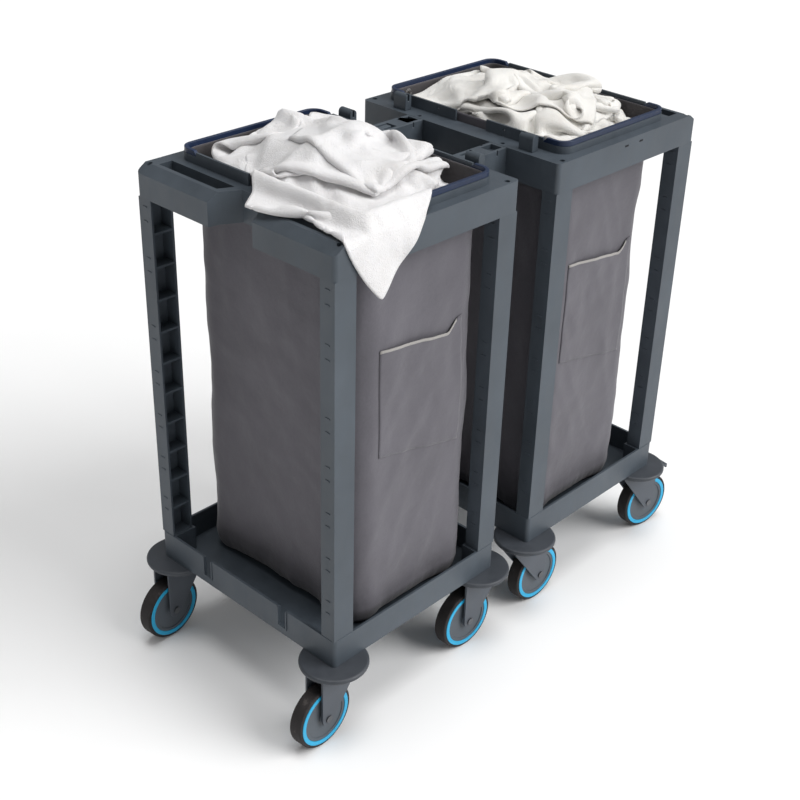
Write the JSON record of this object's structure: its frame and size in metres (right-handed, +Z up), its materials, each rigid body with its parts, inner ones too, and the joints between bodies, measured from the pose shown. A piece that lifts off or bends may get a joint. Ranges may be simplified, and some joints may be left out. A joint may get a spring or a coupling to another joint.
{
  "type": "linen trolley",
  "caption": "Linen trolley of two bag modules joined by bridges: moulded frames with hand slots, clamped fabric bags full of towels, base trays and swivel casters with bumper discs.",
  "frame": {"origin": "on the floor under the middle of the trolley, between the two modules", "axes": "+Z up, +X along the trolley towards the braked casters, +Y across it"},
  "size_m": [1.3252, 0.664, 1.237],
  "materials": {
    "frame_plastic": "moulded grey plastic, fine grain",
    "navy_plastic": "moulded navy plastic, semi-gloss",
    "bag_cloth": "woven polyester, wrinkled",
    "terry": "white terry towelling",
    "eyelet_steel": "bright plated",
    "screw_black": "black",
    "disc_plastic": "dark moulded plastic",
    "zinc_steel": "zinc plated",
    "caster_plastic": "glass-filled nylon, grey",
    "wheel_blue": "bright blue thermoplastic",
    "tread_rubber": "dark rubber",
    "pedal_plastic": "dark grey plastic"
  },
  "bodies": {
    "trolley": {"a_top_frame": "frame_plastic", "b_top_frame": "frame_plastic", "a_base_tray": "frame_plastic", "b_base_tray": "frame_plastic", "posts_a": "frame_plastic", "posts_b": "frame_plastic", "bridges": "frame_plastic", "hinge_blocks": "frame_plastic", "bag_rails": "navy_plastic", "frame_screws": "screw_black", "bag_a": "bag_cloth", "bag_b": "bag_cloth", "linen_a": "terry", "linen_b": "terry", "eyelets": "eyelet_steel", "bumper_discs": "disc_plastic", "king_pins": "zinc_steel", "swivel_bearings": "zinc_steel"},
    "caster_1": {"fork_1": "caster_plastic", "axle_1": "zinc_steel"},
    "wheel_1": {"wheel_hub_1": "caster_plastic", "wheel_ring_1": "wheel_blue", "tyre_1": "tread_rubber"},
    "caster_2": {"fork_2": "caster_plastic", "axle_2": "zinc_steel"},
    "wheel_2": {"wheel_hub_2": "caster_plastic", "wheel_ring_2": "wheel_blue", "tyre_2": "tread_rubber"},
    "caster_3": {"fork_3": "caster_plastic", "axle_3": "zinc_steel"},
    "wheel_3": {"wheel_hub_3": "caster_plastic", "wheel_ring_3": "wheel_blue", "tyre_3": "tread_rubber"},
    "caster_4": {"fork_4": "caster_plastic", "axle_4": "zinc_steel"},
    "wheel_4": {"wheel_hub_4": "caster_plastic", "wheel_ring_4": "wheel_blue", "tyre_4": "tread_rubber"},
    "caster_5": {"fork_5": "caster_plastic", "axle_5": "zinc_steel"},
    "wheel_5": {"wheel_hub_5": "caster_plastic", "wheel_ring_5": "wheel_blue", "tyre_5": "tread_rubber"},
    "caster_6": {"fork_6": "caster_plastic", "axle_6": "zinc_steel"},
    "wheel_6": {"wheel_hub_6": "caster_plastic", "wheel_ring_6": "wheel_blue", "tyre_6": "tread_rubber"},
    "caster_7": {"fork_7": "caster_plastic", "axle_7": "zinc_steel"},
    "wheel_7": {"wheel_hub_7": "caster_plastic", "wheel_ring_7": "wheel_blue", "tyre_7": "tread_rubber"},
    "caster_8": {"fork_8": "caster_plastic", "axle_8": "zinc_steel"},
    "wheel_8": {"wheel_hub_8": "caster_plastic", "wheel_ring_8": "wheel_blue", "tyre_8": "tread_rubber"},
    "pedal_7": {"brake_pedal_7": "pedal_plastic"},
    "pedal_8": {"brake_pedal_8": "pedal_plastic"}
  },
  "joints": [
    {"name": "caster_1_swivel", "type": "hinge", "parent": "trolley", "child": "caster_1", "pos_m": [-0.545, -0.257, 0.18], "axis": [0, 0, 1], "continuous": true},
    {"name": "wheel_1_spin", "type": "hinge", "parent": "caster_1", "child": "wheel_1", "pos_m": [-0.58697, -0.25847, 0.075], "axis": [0.0349, -0.9994, 0], "continuous": true},
    {"name": "caster_2_swivel", "type": "hinge", "parent": "trolley", "child": "caster_2", "pos_m": [-0.545, 0.257, 0.18], "axis": [0, 0, 1], "continuous": true},
    {"name": "wheel_2_spin", "type": "hinge", "parent": "caster_2", "child": "wheel_2", "pos_m": [-0.58689, 0.254, 0.075], "axis": [0.0715, -0.9974, 0], "continuous": true},
    {"name": "caster_3_swivel", "type": "hinge", "parent": "trolley", "child": "caster_3", "pos_m": [-0.087, -0.257, 0.18], "axis": [0, 0, 1], "range_deg": [-120, 120]},
    {"name": "wheel_3_spin", "type": "hinge", "parent": "caster_3", "child": "wheel_3", "pos_m": [-0.12895, -0.25502, 0.075], "axis": [-0.0471, -0.9989, 0], "continuous": true},
    {"name": "caster_4_swivel", "type": "hinge", "parent": "trolley", "child": "caster_4", "pos_m": [-0.087, 0.257, 0.18], "axis": [0, 0, 1], "range_deg": [-120, 120]},
    {"name": "wheel_4_spin", "type": "hinge", "parent": "caster_4", "child": "wheel_4", "pos_m": [-0.129, 0.257, 0.075], "axis": [0, -1, 0], "continuous": true},
    {"name": "caster_5_swivel", "type": "hinge", "parent": "trolley", "child": "caster_5", "pos_m": [0.087, -0.257, 0.18], "axis": [0, 0, 1], "continuous": true},
    {"name": "wheel_5_spin", "type": "hinge", "parent": "caster_5", "child": "wheel_5", "pos_m": [0.12897, -0.25847, 0.075], "axis": [0.0349, 0.9994, 0], "continuous": true},
    {"name": "caster_6_swivel", "type": "hinge", "parent": "trolley", "child": "caster_6", "pos_m": [0.087, 0.257, 0.18], "axis": [0, 0, 1], "continuous": true},
    {"name": "wheel_6_spin", "type": "hinge", "parent": "caster_6", "child": "wheel_6", "pos_m": [0.129, 0.257, 0.075], "axis": [0, 1, 0], "continuous": true},
    {"name": "caster_7_swivel", "type": "hinge", "parent": "trolley", "child": "caster_7", "pos_m": [0.545, -0.257, 0.18], "axis": [0, 0, 1], "continuous": true},
    {"name": "wheel_7_spin", "type": "hinge", "parent": "caster_7", "child": "wheel_7", "pos_m": [0.58646, -0.26371, 0.075], "axis": [0.1599, 0.9871, 0], "continuous": true},
    {"name": "caster_8_swivel", "type": "hinge", "parent": "trolley", "child": "caster_8", "pos_m": [0.545, 0.257, 0.18], "axis": [0, 0, 1], "continuous": true},
    {"name": "wheel_8_spin", "type": "hinge", "parent": "caster_8", "child": "wheel_8", "pos_m": [0.58689, 0.26, 0.075], "axis": [-0.0715, 0.9974, 0], "continuous": true},
    {"name": "brake_pedal_7_press", "type": "hinge", "parent": "caster_7", "child": "pedal_7", "pos_m": [0.59436, -0.26499, 0.1717], "axis": [0.1599, 0.9871, 0], "range_deg": [0, 14]},
    {"name": "brake_pedal_8_press", "type": "hinge", "parent": "caster_8", "child": "pedal_8", "pos_m": [0.59487, 0.26057, 0.1717], "axis": [-0.0715, 0.9974, 0], "range_deg": [0, 14]}
  ]
}
